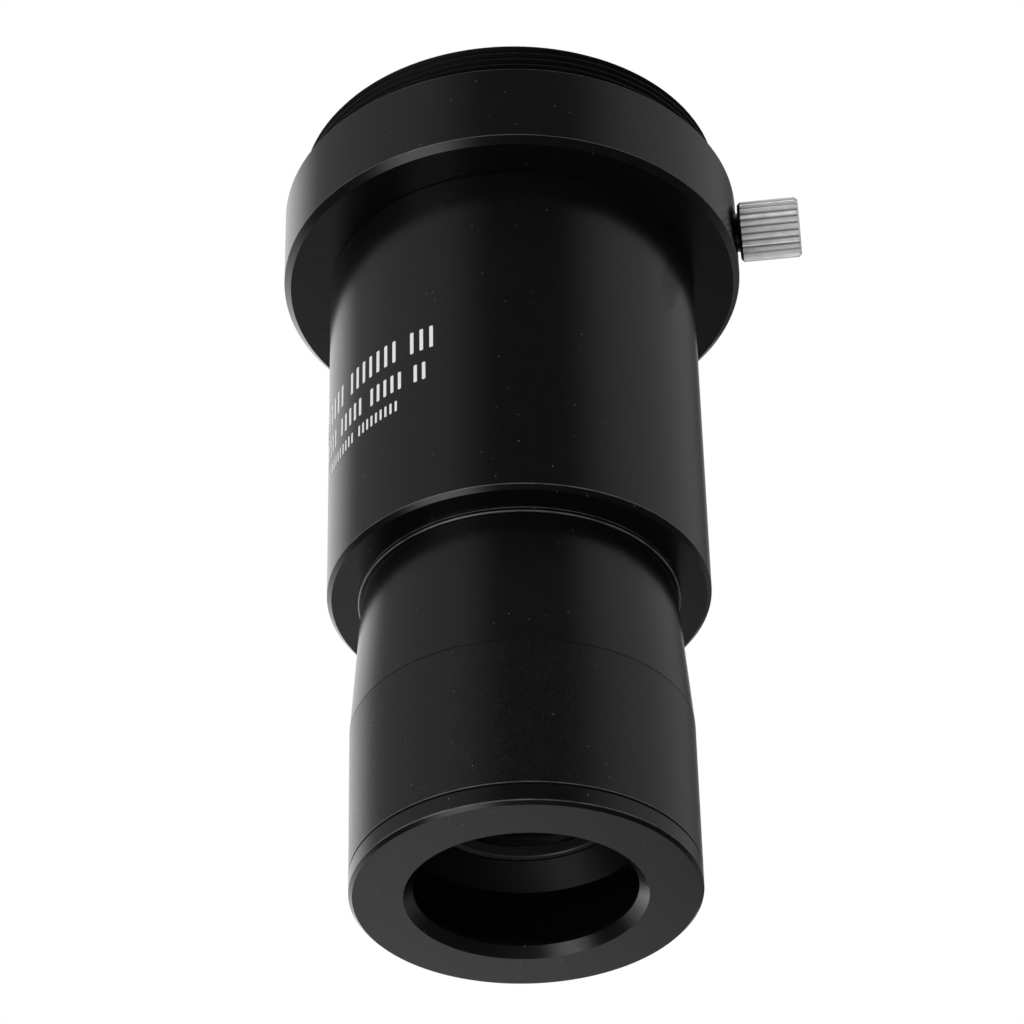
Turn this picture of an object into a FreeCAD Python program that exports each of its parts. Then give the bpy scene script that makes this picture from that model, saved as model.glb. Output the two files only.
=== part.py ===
import FreeCAD, Part
import os
import re
import Sketcher

# Barlow lens: a 1.25 inch nosepiece with a negative doublet at its foot, a body tube, and a
# collar that holds an eyepiece with a thumbscrew and carries a male M42 x 0.75 camera thread.
# Millimetres. The origin is the centre of the nosepiece's end face, +Z points along the optical
# axis towards the eyepiece, and the thumbscrew lies along +X.

ORIGIN = FreeCAD.Vector(0, 0, 0)
ALONG_X = FreeCAD.Rotation(FreeCAD.Vector(0, 1, 0), 90)

# (alias, value, meaning)
DRIVING_SIZES = [
    ("nose_radius", 15.85, "outside of the 1.25 inch nosepiece"),
    ("edge_break", 0.10, "small chamfer on turned edges"),
    ("flush_break", 0.02, "edges of the flush joint between barrel and neck"),
    ("lead_in", 0.35, "chamfer at the mouth of a thread"),
    ("spigot_relief", 0.40, "depth of thread reliefs and spigot tips"),
    ("relief_length", 0.60, "length of a thread relief"),
    ("fine_pitch", 0.60, "pitch of the joint threads"),
    ("fine_depth", 0.30, "depth of the joint threads"),
    ("rim_height", 1.98, "height of the end cap's rim"),
    ("rim_joint", 0.16, "chamfer of the barrel above that rim"),
    ("rim_chamfer", 0.34, "outer chamfer of the end cap"),
    ("aperture_radius", 10.09, "clear aperture of the end cap"),
    ("aperture_chamfer", 0.88, "45 degree mouth of the aperture"),
    ("aperture_land", 0.45, "straight land behind that mouth"),
    ("cap_bore", 11.50, "inside of the end cap's spigot"),
    ("thread_turns", 5, "turns shown on each joint thread"),
    ("filter_radius", 14.25, "M28.5 thread, major radius"),
    ("cell_face", 7.28, "height of the lens cell's front face"),
    ("cell_mouth", 11.54, "wide end of the cell's conical mouth"),
    ("throat_height", 9.45, "narrow end of the cell's conical mouth"),
    ("lens_bore", 9.44, "bore that holds the glass"),
    ("cell_flange", 13.60, "outside of the cell's flange"),
    ("web_bottom", 10.50, "seat of the cell's flange in the nosepiece"),
    ("web_height", 1.20, "thickness of the nosepiece's inner web"),
    ("web_bore", 11.60, "bore of that web"),
    ("cell_body", 11.30, "outside of the cell's rear sleeve"),
    ("cell_top", 17.40, "rear end of the cell"),
    ("cell_stop", 8.70, "rear lip that the glass rests on"),
    ("cell_lip", 0.90, "thickness of that lip"),
    ("cell_flare", 10.20, "rear flare of the cell"),
    ("retainer_gap", 0.05, "lens retainer, depth behind the throat"),
    ("retainer_radius", 9.40, "lens retainer, outside"),
    ("retainer_bore", 8.75, "lens retainer, inside"),
    ("retainer_height", 1.10, "lens retainer, height"),
    ("slot_width", 1.00, "spanner slots of the retainer"),
    ("slot_depth", 0.50, "spanner slots of the retainer"),
    ("glass_radius", 9.40, "outside of both lens elements"),
    ("front_curve", 60.0, "radius of the hollow front surface"),
    ("cement_curve", 45.0, "radius of the cemented surface"),
    ("rear_curve", 120.0, "radius of the rear surface"),
    ("crown_middle", 1.59, "centre thickness of the crown"),
    ("flint_middle", 1.97, "centre thickness of the flint"),
    ("taper_start", 17.00, "height where the neck starts to narrow"),
    ("neck_radius", 14.80, "neck, narrow end"),
    ("neck_bore", 12.20, "neck, inside"),
    ("neck_flare", 0.90, "45 degree mouth at the neck's top"),
    ("bead_radius", 15.15, "locating bead under the body"),
    ("bead_height", 0.50, "locating bead, height"),
    ("groove_pitch", 0.80, "glare grooves in the neck"),
    ("groove_depth", 0.30, "glare grooves in the neck"),
    ("groove_count", 10, "glare grooves in the neck"),
    ("baffle_height", 32.40, "underside of the glare baffle"),
    ("baffle_thickness", 1.20, "glare baffle"),
    ("baffle_bore", 10.60, "glare baffle, clear aperture"),
    ("body_bottom", 32.08, "underside of the body tube"),
    ("body_top", 69.78, "top of the body tube"),
    ("body_radius", 18.07, "outside of the body tube"),
    ("body_chamfer", 0.42, "lower edge of the body tube"),
    ("neck_thread", 14.50, "thread between neck and body, major radius"),
    ("neck_spigot", 6.90, "length of the neck's upper spigot"),
    ("eyepiece_radius", 15.90, "bore for 1.25 inch eyepieces"),
    ("eyepiece_floor", 52.00, "floor of the eyepiece bore"),
    ("stop_bore", 13.60, "light path under that floor"),
    ("collar_thread", 17.00, "thread between body and collar, major radius"),
    ("collar_spigot", 8.00, "length of the collar's spigot"),
    ("flange_radius", 22.69, "outside of the collar"),
    ("flange_top", 79.10, "shoulder that a camera ring rests on"),
    ("flange_chamfer", 0.65, "lower edge of the collar"),
    ("shoulder_break", 0.25, "upper edge of the collar"),
    ("camera_radius", 20.95, "M42 thread, crest radius"),
    ("camera_pitch", 0.75, "M42 thread, pitch"),
    ("camera_depth", 0.42, "M42 thread, depth"),
    ("camera_lead", 0.40, "M42 thread, end chamfer"),
    ("overall_length", 83.86, "end face to the top of the camera thread"),
    ("mouth_chamfer", 0.60, "mouth of the eyepiece bore"),
    ("ring_groove", 16.90, "compression ring's groove, outer radius"),
    ("groove_bottom", 72.10, "compression ring's groove, lower wall"),
    ("groove_height", 5.20, "compression ring's groove, height"),
    ("ring_radius", 16.55, "compression ring, outside"),
    ("ring_bore", 15.95, "compression ring, inside"),
    ("ring_height", 4.90, "compression ring, height"),
    ("ring_split", 9.0, "compression ring, open angle in degrees"),
    ("screw_height", 74.70, "axis of the thumbscrew"),
    ("screw_hole", 2.00, "threaded hole for the thumbscrew"),
    ("screw_radius", 1.94, "M4 thumbscrew, crest radius"),
    ("screw_pitch", 0.70, "M4 thumbscrew, pitch"),
    ("screw_depth", 0.36, "M4 thumbscrew, thread depth"),
    ("screw_sink", 0.35, "countersink of the threaded hole"),
    ("knob_radius", 3.00, "knurled knob, over the teeth"),
    ("knob_face", 22.95, "knob's inner face from the optical axis"),
    ("knob_length", 6.05, "knurled knob, length"),
    ("knob_chamfer", 0.30, "knurled knob, both ends"),
    ("knob_teeth", 24, "straight knurl, teeth"),
    ("knurl_depth", 0.36, "straight knurl, depth"),
    ("tip_gap", 0.10, "free play behind the clamp tip"),
    ("tip_face", 16.80, "clamp tip's face from the optical axis"),
    ("tip_radius", 1.60, "clamp tip, head"),
    ("tip_height", 0.90, "clamp tip, head"),
    ("stem_radius", 0.90, "clamp tip, stem"),
    ("stem_length", 1.60, "clamp tip, stem"),
    ("stem_clearance", 0.06, "running clearance of the stem"),
]

document = FreeCAD.newDocument("BarlowLens")
sizes = document.addObject("Spreadsheet::Sheet", "Sizes")
for row, (alias, value, meaning) in enumerate(DRIVING_SIZES, start=1):
    sizes.set(f"A{row}", meaning)
    sizes.set(f"B{row}", str(value))
    sizes.setAlias(f"B{row}", alias)
document.recompute()


def bound(formula):
    """Point every alias in a formula at the Sizes sheet; an alias always holds an underscore."""
    return re.sub(r"[a-z]+(?:_[a-z]+)+", lambda word: f"Sizes.{word.group()}", formula)


def number(formula):
    """Present value of a formula of aliases."""
    return float(sizes.evalExpression(bound(formula)))


def bind(thing, **formulas):
    """Bind properties of a document object to formulas of the sheet."""
    for path, formula in formulas.items():
        thing.setExpression(path, bound(formula))


def flat_sketch(body, name, role="XZ_Plane"):
    """An empty sketch on one of the body's own origin planes."""
    sketch = body.newObject("Sketcher::SketchObject", name)
    plane = next(item for item in body.Origin.OriginFeatures if item.Role == role)
    sketch.AttachmentSupport = [(plane, "")]
    sketch.MapMode = "FlatFace"
    return sketch


def hold(sketch, line, across, up):
    """Hold a line's start point at formulas measured from the sketch's origin."""
    for kind, axis, formula in (("DistanceX", -2, across), ("DistanceY", -1, up)):
        if formula == "0":
            sketch.addConstraint(Sketcher.Constraint("PointOnObject", line, 1, axis))
            continue
        distance = Sketcher.Constraint(kind, -1, 1, line, 1, number(formula))
        place = sketch.addConstraint(distance)
        sketch.setExpression(f"Constraints[{place}]", bound(formula))


def outline(body, name, corners, role="XZ_Plane"):
    """A closed outline of straight lines through corners, each (across, up) in formulas."""
    sketch = flat_sketch(body, name, role)
    points = [FreeCAD.Vector(number(across), number(up), 0) for across, up in corners]
    ends = points[1:] + points[:1]
    sketch.addGeometry([Part.LineSegment(a, b) for a, b in zip(points, ends)], False)
    for line in range(len(corners)):
        following = (line + 1) % len(corners)
        sketch.addConstraint(Sketcher.Constraint("Coincident", line, 2, following, 1))
    for line, (across, up) in enumerate(corners):
        hold(sketch, line, across, up)
    return sketch


def turned(name, corners, angle="360"):
    """A body turned about Z from an outline of (radius, height) corners."""
    body = document.addObject("PartDesign::Body", name)
    revolution = body.newObject("PartDesign::Revolution", name + "_turned")
    revolution.Profile = outline(body, name + "_outline", corners)
    revolution.ReferenceAxis = (revolution.Profile[0], ["V_Axis"])
    bind(revolution, Angle=angle)
    document.recompute()
    return body


def must_cut(body, before, name):
    """Stop if a cutting feature took nothing away."""
    document.recompute()
    if not body.Shape.Volume < before - 1e-3:
        raise RuntimeError(f"{name} cuts nothing")


def turned_groove(body, name, corners, axis="V_Axis"):
    """Cut a groove turned about one of its sketch's axes."""
    before = body.Shape.Volume
    groove = body.newObject("PartDesign::Groove", name)
    groove.Profile = outline(body, name + "_outline", corners)
    groove.ReferenceAxis = (groove.Profile[0], [axis])
    groove.Angle = 360
    must_cut(body, before, name)
    return groove


def repeat_up(body, feature, count, pitch):
    """Repeat a feature along the body's own Z."""
    pattern = body.newObject("PartDesign::LinearPattern", feature.Name + "_row")
    pattern.Originals = [feature]
    pattern.Direction = (feature.Profile[0], ["V_Axis"])
    body.Tip = pattern
    bind(pattern, Length=f"({count} - 1) * ({pitch})", Occurrences=count)
    document.recompute()


def ring_thread(body, name, crest, start):
    """Vee grooves that stand for a male joint thread, from start upwards."""
    outer = f"{crest} + fine_depth * 0.25"
    corners = [
        (f"{crest} - fine_depth", start),
        (outer, f"{start} - fine_depth * 0.7"),
        (outer, f"{start} + fine_depth * 0.7"),
    ]
    groove = turned_groove(body, name, corners)
    repeat_up(body, groove, "thread_turns", "fine_pitch")


def helix_thread(body, name, crest, depth, pitch, start, height):
    """Cut a right-hand vee thread round Z, from start upwards."""
    before = body.Shape.Volume
    corners = [
        (f"{crest} - {depth}", start),
        (f"{crest} + {depth} * 0.7", f"{start} - {pitch} * 0.72"),
        (f"{crest} + {depth} * 0.7", f"{start} + {pitch} * 0.72"),
    ]
    thread = body.newObject("PartDesign::SubtractiveHelix", name)
    thread.Profile = outline(body, name + "_outline", corners)
    thread.ReferenceAxis = (thread.Profile[0], ["V_Axis"])
    thread.Mode = "pitch-height-angle"
    bind(thread, Pitch=pitch, Height=height)
    must_cut(body, before, name)


def make_end_cap():
    """Threaded ring that closes the nosepiece and holds the lens cell against its seat."""
    inner_face = "aperture_chamfer + aperture_land"
    relief = "filter_radius - spigot_relief"
    body = turned(
        "end_cap",
        [
            ("aperture_radius + aperture_chamfer", "0"),
            ("nose_radius - rim_chamfer", "0"),
            ("nose_radius", "rim_chamfer"),
            ("nose_radius", "rim_height - edge_break"),
            ("nose_radius - edge_break", "rim_height"),
            (relief, "rim_height"),
            (relief, "rim_height + relief_length"),
            ("filter_radius", "rim_height + relief_length"),
            ("filter_radius", "cell_face - spigot_relief"),
            (relief, "cell_face"),
            ("cap_bore", "cell_face"),
            ("cap_bore", inner_face),
            ("aperture_radius", inner_face),
            ("aperture_radius", "aperture_chamfer"),
        ],
    )
    start = "rim_height + relief_length + fine_pitch"
    ring_thread(body, "cap_thread", "filter_radius", start)
    return body


def make_nosepiece_barrel():
    """Straight 1.25 inch sleeve with an inner web that seats the lens cell."""
    web_top = "web_bottom + web_height"
    return turned(
        "nosepiece_barrel",
        [
            ("filter_radius + lead_in", "rim_height"),
            ("nose_radius - rim_joint", "rim_height"),
            ("nose_radius", "rim_height + rim_joint"),
            ("nose_radius", "taper_start - flush_break"),
            ("nose_radius - flush_break", "taper_start"),
            ("filter_radius + lead_in", "taper_start"),
            ("filter_radius", "taper_start - lead_in"),
            ("filter_radius", web_top),
            ("web_bore", web_top),
            ("web_bore", "web_bottom"),
            ("cell_flange", "web_bottom"),
            ("cell_flange", "cell_face"),
            ("filter_radius", "cell_face"),
            ("filter_radius", "rim_height + lead_in"),
        ],
    )


def make_lens_cell():
    """Flanged sleeve with a conical mouth; the doublet drops in and rests on the rear lip."""
    return turned(
        "lens_cell",
        [
            ("cell_mouth", "cell_face"),
            ("cell_flange", "cell_face"),
            ("cell_flange", "web_bottom"),
            ("cell_body", "web_bottom"),
            ("cell_body", "cell_top - spigot_relief"),
            ("cell_body - spigot_relief", "cell_top"),
            ("cell_flare", "cell_top"),
            ("cell_stop", REAR_RIM + " + cell_lip"),
            ("cell_stop", REAR_RIM),
            ("lens_bore", REAR_RIM),
            ("lens_bore", "throat_height"),
        ],
    )


def make_lens_retainer():
    """Threaded ring that holds the doublet in the cell, with two spanner slots."""
    bottom = "throat_height + retainer_gap"
    body = turned(
        "lens_retainer",
        [
            ("retainer_bore + edge_break", bottom),
            ("retainer_radius - edge_break", bottom),
            ("retainer_radius", bottom + " + edge_break"),
            ("retainer_radius", bottom + " + retainer_height"),
            ("retainer_bore", bottom + " + retainer_height"),
            ("retainer_bore", bottom + " + edge_break"),
        ],
    )
    before = body.Shape.Volume
    slot = body.newObject("PartDesign::Pocket", "spanner_slots")
    slot.Profile = outline(
        body,
        "slot_outline",
        [
            ("-slot_width / 2", bottom + " - slot_depth"),
            ("slot_width / 2", bottom + " - slot_depth"),
            ("slot_width / 2", bottom + " + slot_depth"),
            ("-slot_width / 2", bottom + " + slot_depth"),
        ],
        "YZ_Plane",
    )
    slot.Midplane = True
    bind(slot, Length="retainer_radius * 3")
    must_cut(body, before, "spanner_slots")
    return body


def disc(name, low, high):
    """Round blank of both lens elements between two heights."""
    blank = document.addObject("Part::Cylinder", name)
    bind(blank, Radius="glass_radius", Height=f"({high}) - ({low})")
    blank.setExpression("Placement.Base.z", bound(low))
    return blank


def ball(name, radius, middle):
    """Sphere whose surface makes one optical surface."""
    sphere = document.addObject("Part::Sphere", name)
    bind(sphere, Radius=radius)
    sphere.setExpression("Placement.Base.z", bound(middle))
    return sphere


def boolean(kind, name, base, tool):
    """A Part::Cut or Part::Common of two objects."""
    result = document.addObject(kind, name)
    result.Base = base
    result.Tool = tool
    return result


def sag(curve):
    """Depth of a spherical surface at the rim of the glass."""
    return f"({curve} - sqrt({curve} ^ 2 - glass_radius ^ 2))"


FRONT_RIM = "throat_height + retainer_gap + retainer_height"
FRONT_MIDDLE = FRONT_RIM + " + " + sag("front_curve")
CEMENT_MIDDLE = FRONT_MIDDLE + " + crown_middle"
CEMENT_RIM = CEMENT_MIDDLE + " + " + sag("cement_curve")
REAR_MIDDLE = CEMENT_MIDDLE + " + flint_middle"
REAR_RIM = REAR_MIDDLE + " + " + sag("rear_curve")


def make_crown_lens():
    """Front element, hollow on both sides."""
    blank = disc("crown_blank", FRONT_RIM, CEMENT_RIM)
    front = ball("front_surface", "front_curve", FRONT_MIDDLE + " - front_curve")
    back = ball("crown_back_surface", "cement_curve", CEMENT_MIDDLE + " + cement_curve")
    hollow = boolean("Part::Cut", "crown_hollowed", blank, front)
    return boolean("Part::Cut", "crown_lens", hollow, back)


def make_flint_lens():
    """Meniscus rear element, cemented into the crown's hollow back."""
    blank = disc("flint_blank", CEMENT_MIDDLE, REAR_RIM)
    front = ball("flint_front_surface", "cement_curve", CEMENT_MIDDLE + " + cement_curve")
    back = ball("rear_surface", "rear_curve", REAR_MIDDLE + " + rear_curve")
    domed = boolean("Part::Common", "flint_domed", blank, front)
    return boolean("Part::Cut", "flint_lens", domed, back)


def make_tapered_neck():
    """Slim tube between nosepiece and body, with glare grooves inside."""
    foot = "web_bottom + web_height + edge_break"
    top = "body_bottom + neck_spigot"
    low_relief = "filter_radius - spigot_relief"
    high_relief = "neck_thread - spigot_relief"
    bead = "body_bottom - bead_height"
    body = turned(
        "tapered_neck",
        [
            ("neck_bore", foot),
            (low_relief, foot),
            ("filter_radius", foot + " + spigot_relief"),
            ("filter_radius", "taper_start - relief_length"),
            (low_relief, "taper_start - relief_length"),
            (low_relief, "taper_start"),
            ("nose_radius - flush_break", "taper_start"),
            ("nose_radius", "taper_start + flush_break"),
            ("neck_radius", bead),
            ("bead_radius - edge_break", bead),
            ("bead_radius", bead + " + edge_break"),
            ("bead_radius", "body_bottom"),
            (high_relief, "body_bottom"),
            (high_relief, "body_bottom + relief_length"),
            ("neck_thread", "body_bottom + relief_length"),
            ("neck_thread", top + " - spigot_relief"),
            (high_relief, top),
            ("neck_bore + neck_flare", top),
            ("neck_bore", top + " - neck_flare"),
        ],
    )
    ring_thread(body, "upper_thread", "neck_thread", "body_bottom + relief_length + fine_pitch")
    ring_thread(body, "lower_thread", "filter_radius", foot + " + spigot_relief + fine_pitch")
    first = "cell_top + groove_pitch"
    groove = turned_groove(
        body,
        "glare_groove",
        [
            ("neck_bore - groove_depth", first),
            ("neck_bore + groove_depth", first + " + groove_pitch / 2"),
            ("neck_bore - groove_depth", first + " + groove_pitch"),
        ],
    )
    repeat_up(body, groove, "groove_count", "groove_pitch")
    return body


def make_glare_baffle():
    """Blackened knife-edge stop pressed into the neck."""
    top = "baffle_height + baffle_thickness"
    return turned(
        "glare_baffle",
        [
            ("baffle_bore", "baffle_height"),
            ("neck_bore", "baffle_height"),
            ("neck_bore", top),
            ("neck_bore - spigot_relief", top),
            ("baffle_bore", "baffle_height + edge_break * 2"),
        ],
    )


def make_body_tube():
    """Outer tube; the lower part of the eyepiece bore and the floor it stops on."""
    seat = "body_bottom + neck_spigot + edge_break"
    recess = "body_top - collar_spigot - edge_break"
    return turned(
        "body_tube",
        [
            ("neck_thread + lead_in", "body_bottom"),
            ("body_radius - body_chamfer", "body_bottom"),
            ("body_radius", "body_bottom + body_chamfer"),
            ("body_radius", "body_top - edge_break"),
            ("body_radius - edge_break", "body_top"),
            ("collar_thread + lead_in", "body_top"),
            ("collar_thread", "body_top - lead_in"),
            ("collar_thread", recess),
            ("eyepiece_radius", recess),
            ("eyepiece_radius", "eyepiece_floor"),
            ("stop_bore", "eyepiece_floor"),
            ("stop_bore", seat),
            ("neck_thread", seat),
            ("neck_thread", "body_bottom + lead_in"),
        ],
    )


def make_thread_collar():
    """Flanged collar: eyepiece bore, thumbscrew hole and male camera thread."""
    foot = "body_top - collar_spigot"
    relief = "collar_thread - spigot_relief"
    body = turned(
        "thread_collar",
        [
            ("eyepiece_radius", foot),
            (relief, foot),
            ("collar_thread", foot + " + spigot_relief"),
            ("collar_thread", "body_top - relief_length"),
            (relief, "body_top - relief_length"),
            (relief, "body_top"),
            ("flange_radius - flange_chamfer", "body_top"),
            ("flange_radius", "body_top + flange_chamfer"),
            ("flange_radius", "flange_top - shoulder_break"),
            ("flange_radius - shoulder_break", "flange_top"),
            ("camera_radius - camera_depth", "flange_top"),
            ("camera_radius - camera_depth", "flange_top + relief_length"),
            ("camera_radius", "flange_top + relief_length + camera_depth"),
            ("camera_radius", "overall_length - camera_lead"),
            ("camera_radius - camera_lead", "overall_length"),
            ("eyepiece_radius + mouth_chamfer", "overall_length"),
            ("eyepiece_radius", "overall_length - mouth_chamfer"),
            ("eyepiece_radius", "groove_bottom + groove_height"),
            ("ring_groove", "groove_bottom + groove_height"),
            ("ring_groove", "groove_bottom"),
            ("eyepiece_radius", "groove_bottom"),
        ],
    )
    helix_thread(
        body,
        "camera_thread",
        "camera_radius",
        "camera_depth",
        "camera_pitch",
        "flange_top + relief_length / 2",
        "overall_length - flange_top + camera_pitch",
    )
    ring_thread(body, "spigot_thread", "collar_thread", foot + " + spigot_relief + fine_pitch")
    drill_screw_hole(body)
    return body


def drill_screw_hole(body):
    """Radial hole on the +X side, from the ring's groove out through a countersink."""
    outside = "flange_radius + edge_break"
    inside = "eyepiece_radius - edge_break"
    wall = "screw_height + screw_hole"
    corners = [
        (inside, "screw_height"),
        (outside, "screw_height"),
        (outside, wall + " + screw_sink + edge_break"),
        ("flange_radius - screw_sink", wall),
        (inside, wall),
    ]
    turned_groove(body, "screw_hole", corners, "Edge1")


def make_compression_ring():
    """Split brass ring in the collar's groove; the gap faces away from the thumbscrew."""
    body = turned(
        "compression_ring",
        [
            ("ring_bore + edge_break", "groove_bottom"),
            ("ring_radius", "groove_bottom"),
            ("ring_radius", "groove_bottom + ring_height"),
            ("ring_bore + edge_break", "groove_bottom + ring_height"),
            ("ring_bore", "groove_bottom + ring_height - edge_break"),
            ("ring_bore", "groove_bottom + edge_break"),
        ],
        "360 - ring_split",
    )
    body.Placement.Rotation = FreeCAD.Rotation(FreeCAD.Vector(0, 0, 1), 180)
    body.setExpression("Placement.Rotation.Angle", bound("180 + ring_split / 2"))
    return body


def lay_along_x(body):
    """Turn a body's own Z into the thumbscrew's axis."""
    body.Placement = FreeCAD.Placement(ORIGIN, ALONG_X)
    body.setExpression("Placement.Base.z", bound("screw_height"))


def make_thumbscrew():
    """One turned piece: knurled knob, threaded shank and a socket for the clamp tip."""
    foot = "tip_face + tip_height + tip_gap"
    knob_end = "knob_face + knob_length"
    socket = "stem_radius + stem_clearance"
    body = turned(
        "thumbscrew",
        [
            ("0", foot + " + stem_length"),
            (socket, foot + " + stem_length"),
            (socket, foot),
            ("screw_radius - spigot_relief", foot),
            ("screw_radius", foot + " + spigot_relief"),
            ("screw_radius", "knob_face"),
            ("knob_radius - knob_chamfer", "knob_face"),
            ("knob_radius", "knob_face + knob_chamfer"),
            ("knob_radius", knob_end + " - knob_chamfer"),
            ("knob_radius - knob_chamfer", knob_end),
            ("0", knob_end),
        ],
    )
    helix_thread(
        body,
        "screw_thread",
        "screw_radius",
        "screw_depth",
        "screw_pitch",
        foot,
        f"knob_face - screw_pitch - ({foot})",
    )
    knurl(body, knob_end)
    lay_along_x(body)
    return body


def knurl(body, knob_end):
    """Straight vee notches round the knob."""
    before = body.Shape.Volume
    notch = body.newObject("PartDesign::Pocket", "knurl_notch")
    half_width = "knurl_depth * 1.1"
    notch.Profile = outline(
        body,
        "notch_outline",
        [
            ("knob_radius - knurl_depth", "0"),
            ("knob_radius + knurl_depth * 0.1", half_width),
            ("knob_radius + knurl_depth * 0.1", "-" + half_width),
        ],
        "XY_Plane",
    )
    bind(notch, Length=knob_end + " + edge_break")
    notch.Reversed = True
    must_cut(body, before, "knurl_notch")
    pattern = body.newObject("PartDesign::PolarPattern", "knurl")
    pattern.Originals = [notch]
    pattern.Axis = (notch.Profile[0], ["N_Axis"])
    pattern.Angle = 360
    body.Tip = pattern
    bind(pattern, Occurrences="knob_teeth")
    document.recompute()


def make_clamp_tip():
    """Nylon pad that the thumbscrew pushes against the ring; it does not turn."""
    back = "tip_face + tip_height"
    body = turned(
        "clamp_tip",
        [
            ("0", "tip_face"),
            ("tip_radius - edge_break", "tip_face"),
            ("tip_radius", "tip_face + edge_break"),
            ("tip_radius", back),
            ("stem_radius", back),
            ("stem_radius", back + " + stem_length"),
            ("0", back + " + stem_length"),
        ],
    )
    lay_along_x(body)
    return body


def check_document():
    """Stop if any object of the document failed."""
    for item in document.Objects:
        if "Invalid" in item.State or "Error" in item.State:
            raise RuntimeError(f"{item.Name}: {item.State}")


def write_steps(pieces):
    """Write each piece's solid to a file named after it."""
    os.makedirs("parts", exist_ok=True)
    for piece in pieces:
        shape = piece.Shape
        if shape.isNull() or not shape.isValid() or not shape.Solids:
            raise RuntimeError(f"{piece.Label} has no valid solid")
        shape.exportStep(f"parts/{piece.Label}.step")
        print(f"{piece.Label}: {shape.Volume:.1f} mm3, {len(shape.Solids)} solid")


pieces = [
    make_end_cap(),
    make_nosepiece_barrel(),
    make_lens_cell(),
    make_lens_retainer(),
    make_crown_lens(),
    make_flint_lens(),
    make_tapered_neck(),
    make_glare_baffle(),
    make_body_tube(),
    make_thread_collar(),
    make_compression_ring(),
    make_thumbscrew(),
    make_clamp_tip(),
]
document.recompute()
for piece in pieces:
    piece.Label = piece.Name
check_document()
write_steps(pieces)
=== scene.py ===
import math

import bmesh
import bpy
from mathutils import Matrix, Vector


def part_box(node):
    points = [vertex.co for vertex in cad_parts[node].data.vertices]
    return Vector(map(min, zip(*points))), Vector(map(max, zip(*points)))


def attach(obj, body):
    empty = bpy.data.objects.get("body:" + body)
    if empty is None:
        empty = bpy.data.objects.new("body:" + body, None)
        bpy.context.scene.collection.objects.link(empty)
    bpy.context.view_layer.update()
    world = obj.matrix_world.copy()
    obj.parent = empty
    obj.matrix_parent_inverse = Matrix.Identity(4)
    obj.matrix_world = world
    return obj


# The looks of a Barlow lens, in metres, in the CAD model's own frame: +Z runs along the optical
# axis towards the eyepiece, and the thumbscrew lies along +X.

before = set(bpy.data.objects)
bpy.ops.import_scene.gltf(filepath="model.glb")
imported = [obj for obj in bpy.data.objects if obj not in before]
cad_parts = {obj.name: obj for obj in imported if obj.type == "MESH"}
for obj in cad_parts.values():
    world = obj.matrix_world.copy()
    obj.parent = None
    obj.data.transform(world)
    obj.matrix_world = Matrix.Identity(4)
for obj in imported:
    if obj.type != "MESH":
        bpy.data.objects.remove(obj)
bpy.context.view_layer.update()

MM = 0.001
PER_MM = 1000.0
BODY = "barlow_body"

# Camera, looking up at the lens from below
CAMERA_AZIMUTH = math.radians(-83.49)
CAMERA_ELEVATION = math.radians(-36.375)
CAMERA_ROLL = math.radians(-1.286)
CAMERA_DISTANCE = 365.8 * MM
CAMERA_TARGET = Vector((-0.51, -0.06, 42.58)) * MM
FOCAL_LENGTH = 134.7
SENSOR_WIDTH = 36.0

# Thumbscrew: height of its axis, radius at the foot of the knurl, outer end, in mm
KNOB_HEIGHT = 74.70
KNOB_ROOT = 2.66
KNOB_END = 28.95

# Cemented surface inside the doublet: its radius and the height of its centre, in mm
CEMENT_RADIUS = 45.0
CEMENT_MIDDLE = 57.93

# In mm: worn edges, painted pale as highlight lines, show only beyond this radius, and a matt
# inside starts at this height, just above the chamfer of the end cap's mouth
WORN_HIGHLIGHT_RADIUS = 15.0
MOUTH_TOP = 0.90

# Dust: one speck at the middle of each cell that a surface happens to cut. DUST_SCALE is the
# number of cells in a mm, and DUST_SIZE a speck's radius as a share of a cell
DUST_SCALE = 0.8
DUST_SIZE = 0.05

# Floor, in metres: its height, below the camera, and half its width
FLOOR_HEIGHT = -0.60
FLOOR_HALF = 6.0

# Tall soft boxes round the lens: (azimuth, full within degrees, gone beyond degrees, strength)
TALL_BOXES = [(-159, 12, 46, 1.15), (-75, 20, 64, 0.34), (95, 15, 67, 0.40)]
# Their lower and upper ends, as the sine of the elevation where each starts and stops fading
BOX_FOOT = (-0.45, -0.05)
BOX_HEAD = (0.72, 0.90)
# Round soft lights: (azimuth, elevation, full within degrees, gone beyond degrees, strength)
ROUND_LIGHTS = [
    (0, 90, 14, 38, 1.8),
    (0, -88, 10, 25, 1.3),
    (-150, -10, 28, 43, 0.68),
    (-50, -48, 5, 20, 2.2),
]
# Light from everywhere else
ROOM_LIGHT = 0.04
# Fill light: its power, and its width and distance in metres
FILL_WATTS = 5.0
FILL_SIZE = 0.6
FILL_DISTANCE = 0.9

# Printed marks on the body tube
PRINT_THICKNESS = 0.03 * MM
PRINT_MIDDLE = math.radians(-138.5)
PRINT_ROWS = [
    # (lowest height mm, bar height mm, half width of the row in degrees,
    #  bar mm, gap mm, bars in a word)
    (49.85, 2.5, 31.5, 0.42, 0.66, 7),
    (46.35, 2.0, 28.7, 0.36, 0.54, 5),
    (43.95, 1.2, 20.3, 0.26, 0.38, 9),
]


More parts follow.
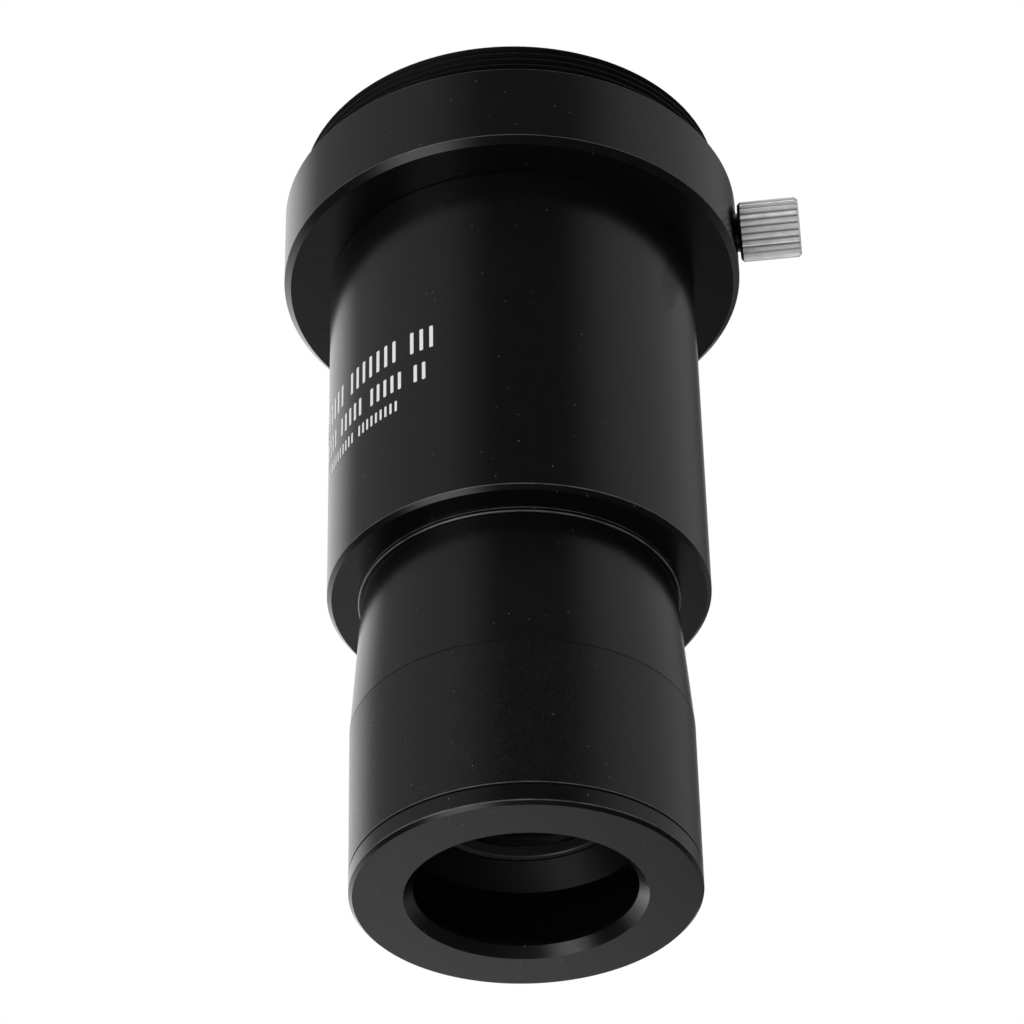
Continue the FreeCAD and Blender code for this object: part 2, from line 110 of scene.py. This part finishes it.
def camera_axes():
    """Right, up and backward directions of the camera."""
    flat = math.cos(CAMERA_ELEVATION)
    back = Vector(
        (
            flat * math.cos(CAMERA_AZIMUTH),
            flat * math.sin(CAMERA_AZIMUTH),
            math.sin(CAMERA_ELEVATION),
        )
    )
    level = Vector((-math.sin(CAMERA_AZIMUTH), math.cos(CAMERA_AZIMUTH), 0.0))
    upright = back.cross(level)
    right = math.cos(CAMERA_ROLL) * level + math.sin(CAMERA_ROLL) * upright
    up = math.cos(CAMERA_ROLL) * upright - math.sin(CAMERA_ROLL) * level
    return right, up, back


def make_camera():
    data = bpy.data.cameras.new("camera")
    data.lens = FOCAL_LENGTH
    data.sensor_width = SENSOR_WIDTH
    data.clip_start = 0.01
    data.clip_end = 50.0
    right, up, back = camera_axes()
    turn = Matrix((right, up, back)).transposed().to_4x4()
    place = Matrix.Translation(CAMERA_TARGET + CAMERA_DISTANCE * back)
    camera = bpy.data.objects.new("camera", data)
    camera.matrix_world = place @ turn
    bpy.context.collection.objects.link(camera)
    bpy.context.scene.camera = camera


class Nodes:
    """Short hand for building a node tree."""

    def __init__(self, tree):
        self.tree = tree

    def add(self, kind, inputs=None, **settings):
        node = self.tree.nodes.new(kind)
        for name, value in settings.items():
            setattr(node, name, value)
        for name, value in (inputs or {}).items():
            self.put(value, node.inputs[name])
        return node

    def put(self, value, socket):
        """Link an output, or set a plain value."""
        if isinstance(value, bpy.types.NodeSocket):
            self.tree.links.new(value, socket)
        else:
            socket.default_value = value

    def maths(self, operation, first, second=0.0):
        node = self.add("ShaderNodeMath", operation=operation)
        self.put(first, node.inputs[0])
        self.put(second, node.inputs[1])
        return node.outputs[0]

    def remap(self, value, low, high, to_low, to_high, kind="LINEAR"):
        node = self.add(
            "ShaderNodeMapRange",
            {
                "Value": value,
                "From Min": low,
                "From Max": high,
                "To Min": to_low,
                "To Max": to_high,
            },
            interpolation_type=kind,
        )
        return node.outputs["Result"]

    def noise(self, where, scale, detail=3.0, rough=0.5):
        node = self.add(
            "ShaderNodeTexNoise",
            {"Vector": where, "Scale": scale, "Detail": detail, "Roughness": rough},
        )
        return node.outputs["Fac"]

    def mix(self, amount, first, second):
        node = self.add("ShaderNodeMix", data_type="RGBA")
        self.put(amount, node.inputs["Factor"])
        self.put(first, node.inputs["A"])
        self.put(second, node.inputs["B"])
        return node.outputs["Result"]

    def bump(self, height, strength, distance, below=None):
        inputs = {"Height": height, "Strength": strength, "Distance": distance}
        if below is not None:
            inputs["Normal"] = below
        return self.add("ShaderNodeBump", inputs).outputs["Normal"]

    def distance(self, where, point):
        """Distance from a fixed point."""
        node = self.add("ShaderNodeVectorMath", operation="DISTANCE")
        self.put(where, node.inputs[0])
        self.put(point, node.inputs[1])
        return node.outputs["Value"]

    def flattened(self, split):
        """The vector with its height left out."""
        across = {"X": split.outputs["X"], "Y": split.outputs["Y"]}
        return self.add("ShaderNodeCombineXYZ", across).outputs[0]


def grey(value, warmth=0.0):
    return (value * (1 + warmth), value, value * (1 - warmth), 1.0)


def new_material(name):
    """A material with a lone principled shader, and its millimetre coordinates."""
    material = bpy.data.materials.new(name)
    material.use_nodes = True
    nodes = Nodes(material.node_tree)
    shader = material.node_tree.nodes["Principled BSDF"]
    place = nodes.add("ShaderNodeTexCoord").outputs["Object"]
    millimetres = nodes.add("ShaderNodeVectorMath", {"Scale": PER_MM}, operation="SCALE")
    nodes.put(place, millimetres.inputs[0])
    return material, nodes, shader, millimetres.outputs["Vector"]


def turned_lines(nodes, where, spacing, axis="Z"):
    """Fine lines left by turning, 0 to 1, spaced along one axis."""
    split = nodes.add("ShaderNodeSeparateXYZ", {"Vector": where})
    along = nodes.maths("MULTIPLY", split.outputs[axis], 1.0 / spacing)
    wander = nodes.noise(where, 0.8, 2.0)
    phase = nodes.maths("ADD", along, nodes.maths("MULTIPLY", wander, 1.5))
    ramp = nodes.add("ShaderNodeCombineXYZ", {"X": phase}).outputs[0]
    return nodes.noise(ramp, 1.0, 2.0)


def near_height(nodes, split, height, half):
    """1 within a band of heights in mm, 0 outside it."""
    off = nodes.maths("ABSOLUTE", nodes.maths("SUBTRACT", split.outputs["Z"], height))
    return nodes.remap(off, half * 0.7, half, 1.0, 0.0)


def anodised(
    name,
    tone,
    rough,
    grain,
    grain_size=0.10,
    line_depth=0.002,
    dust=0.0,
    inside=0.0,
    speckle=0.012,
    worn_highlight_edges=(),
    matt_bands=(),
):
    """Black anodised aluminium: grain, turning lines, dust, a matt inside and worn edges.

    Grain is its depth and line_depth that of the turning lines, in mm. Inside is the radius in mm
    within which the finish is matt, above the aperture's mouth. The wear list holds (height, half
    width) in mm of each outer edge painted pale in a patchy band, partly rubbed wear and partly a
    painted highlight line along the edge. Matt bands hold (height, half width) in mm and strength.
    """
    material, nodes, shader, where = new_material(name)
    split = nodes.add("ShaderNodeSeparateXYZ", {"Vector": where})
    length = nodes.add("ShaderNodeVectorMath", operation="LENGTH")
    nodes.put(nodes.flattened(split), length.inputs[0])
    radius = length.outputs["Value"]
    grains = nodes.noise(where, 1.0 / grain_size, 2.0, 0.6)
    lines = turned_lines(nodes, where, 0.12)
    smears = nodes.noise(where, 0.5, 5.0, 0.65)
    smeared = nodes.remap(smears, 0.35, 0.65, 0.0, 1.0)
    colour = nodes.mix(smeared, grey(tone * 0.9), grey(tone * 1.1, 0.01))
    speck = nodes.remap(grains, 0.60, 0.70, 0.0, 0.5)
    colour = nodes.mix(speck, colour, grey(speckle))
    spots = nodes.add(
        "ShaderNodeTexVoronoi",
        {"Vector": where, "Scale": DUST_SCALE, "Randomness": 1.0},
    )
    near = nodes.remap(spots.outputs["Distance"], DUST_SIZE / 2, DUST_SIZE, 1.0, 0.0)
    colour = nodes.mix(nodes.maths("MULTIPLY", near, dust), colour, grey(0.25))
    # Pale patchy bands along outer edges: partly rubbed wear, partly painted highlight lines.
    outer = nodes.remap(radius, WORN_HIGHLIGHT_RADIUS - 0.1, WORN_HIGHLIGHT_RADIUS, 0.0, 1.0)
    patchy = nodes.remap(smears, 0.3, 0.6, 0.3, 0.9)
    for height, half in worn_highlight_edges:
        near = nodes.maths("MULTIPLY", near_height(nodes, split, height, half), outer)
        rubbed_highlight = nodes.maths("MULTIPLY", near, patchy)
        colour = nodes.mix(rubbed_highlight, colour, grey(0.10))
    worn = nodes.remap(smears, 0.35, 0.7, rough - 0.01, rough + 0.01)
    roughness = nodes.maths("ADD", worn, nodes.remap(grains, 0.3, 0.7, -0.03, 0.03))
    behind = nodes.remap(split.outputs["Z"], MOUTH_TOP - 0.04, MOUTH_TOP, 0.0, 1.0)
    within = nodes.remap(radius, inside - 0.1, inside, 1.0, 0.0)
    matt = nodes.maths("MULTIPLY", behind, within)
    for height, half, strength in matt_bands:
        band = nodes.maths("MULTIPLY", near_height(nodes, split, height, half), strength)
        matt = nodes.maths("MAXIMUM", matt, band)
    colour = nodes.mix(matt, colour, grey(0.0025))
    roughness = nodes.maths("MAXIMUM", roughness, nodes.maths("MULTIPLY", matt, 0.85))
    nodes.put(nodes.remap(matt, 0.0, 1.0, 0.5, 0.08), shader.inputs["Specular IOR Level"])
    nodes.put(colour, shader.inputs["Base Color"])
    nodes.put(roughness, shader.inputs["Roughness"])
    low = nodes.bump(lines, 0.35, line_depth * MM)
    normal = nodes.bump(grains, 0.6, grain * MM, low)
    nodes.put(normal, shader.inputs["Normal"])
    shader.inputs["IOR"].default_value = 1.5
    return material


def bare_metal(name, tone, warmth, rough, line_gap, axis, metallic=1.0, painted_shadow_to=None):
    """Turned bare metal with fine lines and tarnish.

    The thumbscrew also gives an X in mm, below which a near-black painted shadow, with a ragged
    edge, covers the knob's inner end beside the flange. Its knurl then gets painted shade, darker
    in the valleys between the ridges.
    """
    material, nodes, shader, where = new_material(name)
    lines = turned_lines(nodes, where, line_gap, axis)
    stains = nodes.noise(where, 0.6, 5.0, 0.6)
    pits = nodes.noise(where, 9.0, 3.0, 0.7)
    dull = grey(tone * 0.82, warmth)
    tarnish = nodes.remap(stains, 0.4, 0.7, 0.0, 1.0)
    colour = nodes.mix(tarnish, grey(tone, warmth), dull)
    colour = nodes.mix(nodes.remap(pits, 0.62, 0.72, 0.0, 0.5), colour, grey(0.2))
    if painted_shadow_to is not None:
        split = nodes.add("ShaderNodeSeparateXYZ", {"Vector": where})
        # Painted shadow: the knob's inner end beside the flange turns near black below this X,
        # with a ragged edge.
        ragged = nodes.remap(stains, 0.3, 0.7, -0.06, 0.06)
        along = nodes.maths("ADD", split.outputs["X"], ragged)
        painted_shadow = nodes.remap(along, painted_shadow_to - 0.04, painted_shadow_to, 1.0, 0.0)
        # Painted shade: the knurl turns darker in the valleys between its ridges, though not on
        # the outer end face.
        flat = nodes.add("ShaderNodeVectorMath", operation="MULTIPLY")
        nodes.put(where, flat.inputs[0])
        nodes.put((0.0, 1.0, 1.0), flat.inputs[1])
        out = nodes.distance(flat.outputs["Vector"], (0.0, 0.0, KNOB_HEIGHT))
        hollow_shade = nodes.remap(out, KNOB_ROOT, KNOB_ROOT + 0.16, 0.8, 0.0)
        side = nodes.remap(split.outputs["X"], KNOB_END - 0.06, KNOB_END, 1.0, 0.0)
        colour = nodes.mix(nodes.maths("MULTIPLY", hollow_shade, side), colour, grey(0.14))
        # Lay the near-black painted shadow over the knob's inner end.
        colour = nodes.mix(painted_shadow, colour, grey(0.004))
    nodes.put(colour, shader.inputs["Base Color"])
    roughness = nodes.remap(stains, 0.3, 0.7, rough - 0.06, rough + 0.1)
    nodes.put(roughness, shader.inputs["Roughness"])
    shader.inputs["Metallic"].default_value = metallic
    low = nodes.bump(lines, 0.5, 0.006 * MM)
    nodes.put(nodes.bump(pits, 0.5, 0.02 * MM, low), shader.inputs["Normal"])
    return material


def coated_glass(name):
    """Polished optical glass with a faint uneven anti-reflection coating.

    The two faces of the cemented joint let light straight through, as cement does.
    """
    material, nodes, shader, where = new_material(name)
    haze = nodes.noise(where, 0.12, 3.0)
    cool = (0.06, 0.075, 0.07, 1.0)
    warm = (0.075, 0.07, 0.085, 1.0)
    tint = nodes.mix(nodes.remap(haze, 0.35, 0.65, 0.0, 1.0), cool, warm)
    nodes.put(tint, shader.inputs["Base Color"])
    nodes.put(nodes.remap(haze, 0.3, 0.7, 0.01, 0.03), shader.inputs["Roughness"])
    shader.inputs["Transmission Weight"].default_value = 1.0
    shader.inputs["IOR"].default_value = 1.52
    shader.inputs["Specular Tint"].default_value = (0.10, 0.16, 0.14, 1.0)
    away = nodes.distance(where, (0.0, 0.0, CEMENT_MIDDLE))
    off = nodes.maths("ABSOLUTE", nodes.maths("SUBTRACT", away, CEMENT_RADIUS))
    cemented = nodes.remap(off, 0.03, 0.04, 1.0, 0.0)
    clear = nodes.add("ShaderNodeBsdfTransparent")
    joined = nodes.add("ShaderNodeMixShader", {"Fac": cemented})
    nodes.put(shader.outputs[0], joined.inputs[1])
    nodes.put(clear.outputs[0], joined.inputs[2])
    surface = material.node_tree.nodes["Material Output"].inputs["Surface"]
    nodes.put(joined.outputs[0], surface)
    return material


def nylon(name):
    """Milky moulded nylon."""
    material, nodes, shader, where = new_material(name)
    cloud = nodes.noise(where, 1.5, 4.0)
    milky = nodes.mix(cloud, grey(0.62, 0.03), grey(0.75, 0.02))
    nodes.put(milky, shader.inputs["Base Color"])
    nodes.put(nodes.remap(cloud, 0.3, 0.7, 0.42, 0.55), shader.inputs["Roughness"])
    nodes.put(nodes.bump(cloud, 0.3, 0.02 * MM), shader.inputs["Normal"])
    shader.inputs["Subsurface Weight"].default_value = 0.1
    shader.inputs["Subsurface Scale"].default_value = 0.5 * MM
    return material


def white_ink(name):
    """Screen-printed ink: slightly uneven white with pinholes."""
    material, nodes, shader, where = new_material(name)
    cover = nodes.noise(where, 7.0, 4.0, 0.6)
    worn = nodes.remap(cover, 0.30, 0.42, 1.0, 0.0)
    nodes.put(nodes.mix(worn, grey(0.75), grey(0.42)), shader.inputs["Base Color"])
    nodes.put(nodes.remap(cover, 0.3, 0.7, 0.5, 0.65), shader.inputs["Roughness"])
    nodes.put(nodes.bump(cover, 0.3, 0.01 * MM), shader.inputs["Normal"])
    return material


def dress_nodes():
    """Give every CAD node its material."""
    # Each wear list paints pale bands along edges: partly rubbed wear, partly painted highlight
    # lines.
    finishes = {
        "end_cap": anodised(
            "cap_black",
            tone=0.003,
            rough=0.24,
            grain=0.004,
            line_depth=0.003,
            dust=0.8,
            inside=12.0,
            worn_highlight_edges=[(0.34, 0.06)],
            matt_bands=[(1.99, 0.15, 1.0)],
        ),
        "nosepiece_barrel": anodised(
            "blasted_black",
            tone=0.004,
            rough=0.26,
            grain=0.020,
            dust=0.6,
            inside=15.3,
            speckle=0.04,
            worn_highlight_edges=[(2.16, 0.05)],
            matt_bands=[(1.98, 0.14, 1.0), (17.0, 0.06, 0.7)],
        ),
        "tapered_neck": anodised(
            "neck_black",
            tone=0.003,
            rough=0.23,
            grain=0.004,
            dust=0.6,
            inside=14.0,
            worn_highlight_edges=[(31.62, 0.05), (31.97, 0.045)],
            matt_bands=[(17.0, 0.06, 0.7)],
        ),
        "body_tube": anodised(
            "tube_black",
            tone=0.003,
            rough=0.23,
            grain=0.004,
            dust=0.7,
            inside=14.9,
            worn_highlight_edges=[(32.50, 0.05)],
        ),
        "thread_collar": anodised(
            "collar_black",
            tone=0.003,
            rough=0.23,
            grain=0.004,
            dust=0.7,
            inside=15.8,
            worn_highlight_edges=[(78.86, 0.05), (70.43, 0.03)],
            matt_bands=[(81.6, 2.46, 0.65)],
        ),
        "lens_cell": anodised(
            "cell_black",
            tone=0.004,
            rough=0.30,
            grain=0.006,
            grain_size=0.12,
            line_depth=0.006,
            matt_bands=[(12.0, 10.0, 0.54)],
        ),
        "lens_retainer": anodised(
            "retainer_black", tone=0.04, rough=0.32, grain=0.004, line_depth=0.004
        ),
        "glare_baffle": anodised(
            "inner_black", tone=0.004, rough=0.6, grain=0.012, grain_size=0.12, line_depth=0.006
        ),
        "crown_lens": coated_glass("crown_glass"),
        "flint_lens": coated_glass("flint_glass"),
        "compression_ring": bare_metal(
            "brass", tone=0.62, warmth=0.35, rough=0.3, line_gap=0.1, axis="Z"
        ),
        "thumbscrew": bare_metal(
            "knurled_metal",
            tone=0.95,
            warmth=0.012,
            rough=0.36,
            line_gap=0.16,
            axis="X",
            metallic=0.5,
            # Near-black painted shadow on the knob's inner end, up to this X in mm.
            painted_shadow_to=23.26,
        ),
        "clamp_tip": nylon("nylon"),
    }
    for node, material in finishes.items():
        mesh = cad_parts[node].data
        mesh.materials.clear()
        mesh.materials.append(material)


def printed_bar(mesh, radius, middle, width, low, high):
    """One thin bar wrapped round the tube, with its corners cut."""
    corner = min(width, high - low) * 0.16
    half = width / 2
    outline = [
        (-half + corner, low),
        (0.0, low),
        (half - corner, low),
        (half, low + corner),
        (half, high - corner),
        (half - corner, high),
        (0.0, high),
        (-half + corner, high),
        (-half, high - corner),
        (-half, low + corner),
    ]
    rings = []
    for r in (radius, radius + PRINT_THICKNESS):
        ring = []
        for across, height in outline:
            angle = middle + across / radius
            ring.append(mesh.verts.new((r * math.cos(angle), r * math.sin(angle), height)))
        rings.append(ring)
    inner, outer = rings
    mesh.faces.new(outer)
    mesh.faces.new(list(reversed(inner)))
    count = len(outline)
    for i in range(count):
        j = (i + 1) % count
        mesh.faces.new((inner[i], inner[j], outer[j], outer[i]))


def make_printed_marks():
    """Three rows of plain bars in white ink on the body tube."""
    low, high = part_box("body_tube")
    radius = (high.x - low.x) / 2 + 0.002 * MM
    mesh = bmesh.new()
    for bottom, tall, half_angle, bar, gap, word in PRINT_ROWS:
        reach = math.radians(half_angle) * radius
        count = int((2 * reach / MM + gap) / (bar + gap))
        pitch = 2 * reach / count
        for i in range(count):
            if i % (word + 1) == word:
                continue
            across = -reach + pitch * (i + 0.5)
            middle = PRINT_MIDDLE + across / radius
            width = pitch - gap * MM
            printed_bar(mesh, radius, middle, width, bottom * MM, (bottom + tall) * MM)
    bmesh.ops.recalc_face_normals(mesh, faces=mesh.faces)
    data = bpy.data.meshes.new("printed_marks")
    mesh.to_mesh(data)
    mesh.free()
    data.materials.append(white_ink("white_ink"))
    marks = bpy.data.objects.new("printed_marks", data)
    bpy.context.collection.objects.link(marks)
    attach(marks, BODY)


def make_floor():
    """Plain pale floor, below the camera."""
    mesh = bmesh.new()
    bmesh.ops.create_grid(mesh, x_segments=1, y_segments=1, size=FLOOR_HALF)
    data = bpy.data.meshes.new("floor")
    mesh.to_mesh(data)
    mesh.free()
    material, nodes, shader, where = new_material("floor_paper")
    tone = nodes.noise(where, 0.002, 2.0)
    nodes.put(nodes.mix(tone, grey(0.80), grey(0.84)), shader.inputs["Base Color"])
    shader.inputs["Roughness"].default_value = 0.9
    data.materials.append(material)
    floor = bpy.data.objects.new("floor", data)
    floor.location.z = FLOOR_HEIGHT
    bpy.context.collection.objects.link(floor)
    floor.visible_glossy = False


def direction(azimuth, elevation):
    """Unit vector; azimuth counts from the camera's side towards its right."""
    turn = CAMERA_AZIMUTH + math.radians(azimuth)
    rise = math.radians(elevation)
    return Vector(
        (
            math.cos(rise) * math.cos(turn),
            math.cos(rise) * math.sin(turn),
            math.sin(rise),
        )
    )


def soft_spot(nodes, toward, middle, full, gone, strength):
    """Brightness of a soft light seen in a direction, from its strength down to nothing."""
    facing = nodes.add("ShaderNodeVectorMath", operation="DOT_PRODUCT")
    nodes.put(toward, facing.inputs[0])
    nodes.put(middle, facing.inputs[1])
    return nodes.remap(
        facing.outputs["Value"],
        math.cos(math.radians(gone)),
        math.cos(math.radians(full)),
        0.0,
        strength,
        "SMOOTHSTEP",
    )


def make_fill():
    """Broad light from the front left, left out of reflections."""
    data = bpy.data.lights.new("fill", "AREA")
    data.shape = "DISK"
    data.size = FILL_SIZE
    data.energy = FILL_WATTS
    fill = bpy.data.objects.new("fill", data)
    toward = direction(-35, -5)
    turn = toward.to_track_quat("Z", "Y").to_matrix().to_4x4()
    fill.matrix_world = Matrix.Translation(CAMERA_TARGET + FILL_DISTANCE * toward) @ turn
    fill.visible_glossy = False
    fill.visible_camera = False
    bpy.context.collection.objects.link(fill)


def make_world():
    """White backdrop for the camera, and a room lit by soft boxes for everything else."""
    world = bpy.data.worlds.new("studio")
    world.use_nodes = True
    tree = world.node_tree
    tree.nodes.clear()
    nodes = Nodes(tree)
    toward = nodes.add("ShaderNodeTexCoord").outputs["Generated"]
    split = nodes.add("ShaderNodeSeparateXYZ", {"Vector": toward})
    ahead = nodes.add("ShaderNodeVectorMath", operation="NORMALIZE")
    nodes.put(nodes.flattened(split), ahead.inputs[0])
    foot = nodes.remap(split.outputs["Z"], *BOX_FOOT, 0.0, 1.0, "SMOOTHSTEP")
    head = nodes.remap(split.outputs["Z"], *BOX_HEAD, 1.0, 0.0, "SMOOTHSTEP")
    reach = nodes.maths("MULTIPLY", foot, head)
    total = ROOM_LIGHT
    for azimuth, full, gone, strength in TALL_BOXES:
        glow = soft_spot(nodes, ahead.outputs[0], direction(azimuth, 0), full, gone, strength)
        total = nodes.maths("ADD", nodes.maths("MULTIPLY", glow, reach), total)
    for azimuth, elevation, full, gone, strength in ROUND_LIGHTS:
        glow = soft_spot(nodes, toward, direction(azimuth, elevation), full, gone, strength)
        total = nodes.maths("ADD", glow, total)
    room = nodes.add("ShaderNodeBackground", {"Color": grey(1.0), "Strength": total})
    backdrop = nodes.add("ShaderNodeBackground", {"Color": grey(1.0), "Strength": 1.0})
    seen = nodes.add("ShaderNodeLightPath").outputs["Is Camera Ray"]
    chosen = nodes.add("ShaderNodeMixShader", {"Fac": seen})
    nodes.put(room.outputs[0], chosen.inputs[1])
    nodes.put(backdrop.outputs[0], chosen.inputs[2])
    nodes.add("ShaderNodeOutputWorld", {"Surface": chosen.outputs[0]})
    bpy.context.scene.world = world
    bpy.context.scene.view_settings.view_transform = "Standard"


make_camera()
make_world()
make_fill()
make_floor()
dress_nodes()
make_printed_marks()
